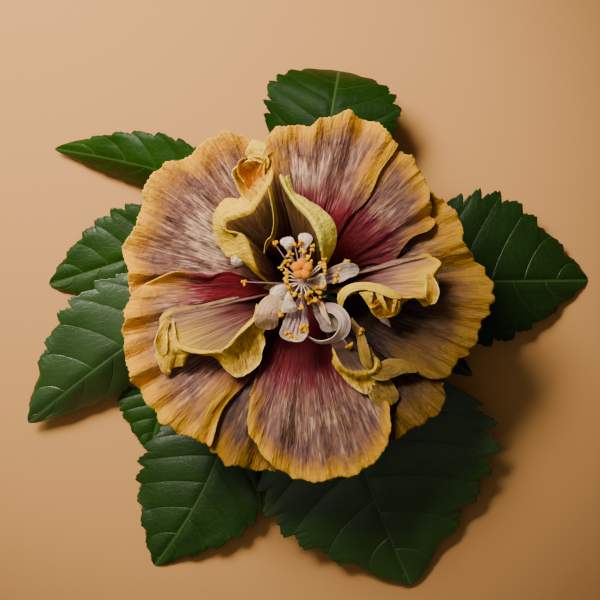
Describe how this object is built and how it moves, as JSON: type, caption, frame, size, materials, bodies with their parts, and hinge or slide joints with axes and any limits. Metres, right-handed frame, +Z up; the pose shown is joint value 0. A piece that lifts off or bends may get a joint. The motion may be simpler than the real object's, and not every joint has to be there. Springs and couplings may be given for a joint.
{
  "type": "cut double hibiscus bloom with leaves",
  "caption": "Cut double hibiscus bloom lying face up on a short twig, with overlapping ruffled petals, a leaning staminal column and broad toothed leaves spread under it.",
  "frame": {"origin": "centre of the spray's box on the surface that it lies on", "axes": "+Z up along the bloom's axis, +X along the spray's longest extent, from its left leaf to its right one"},
  "size_m": [0.2642, 0.2442, 0.0915],
  "materials": {
    "outer_petal": "soft matt petal, gold margin, mauve-brown face and burgundy base",
    "inner_petal": "soft matt petal with a rolled yellow margin",
    "petaloid": "soft matt cream",
    "stamen": "cream filaments with powdery yellow anthers",
    "stigma": "velvety orange",
    "calyx": "matt green with fine down",
    "stalk": "smooth green stalk",
    "twig_bark": "grey-brown bark with a pale cut end",
    "leaf": "glossy dark green leaf with paler veins"
  },
  "bodies": {
    "root": {"petal_upper_left": "outer_petal", "petal_low_right": "outer_petal", "petal_low_left": "outer_petal", "petal_right": "outer_petal", "petal_left": "outer_petal", "petal_upper_right": "outer_petal", "petal_bottom": "outer_petal", "petal_top": "outer_petal", "inner_petal_upper_left": "inner_petal", "inner_petal_upper_right": "inner_petal", "inner_petal_right": "inner_petal", "inner_petal_low_left": "inner_petal", "inner_petal_low_right": "inner_petal", "petaloid_front_left": "petaloid", "petaloid_front": "petaloid", "petaloid_front_right": "petaloid", "petaloid_right": "petaloid", "petaloid_back_left": "petaloid", "petaloid_back": "petaloid", "petaloid_left": "petaloid", "staminal_column": "stamen", "stigma": "stigma", "calyx": "calyx", "pedicel": "stalk", "twig": "twig_bark", "leaf_top": "leaf", "leaf_upper_left": "leaf", "leaf_mid_left": "leaf", "leaf_left": "leaf", "leaf_low_left": "leaf", "leaf_lower_left": "leaf", "leaf_bottom": "leaf", "leaf_right": "leaf", "leaf_low_right": "leaf"}
  },
  "joints": []
}
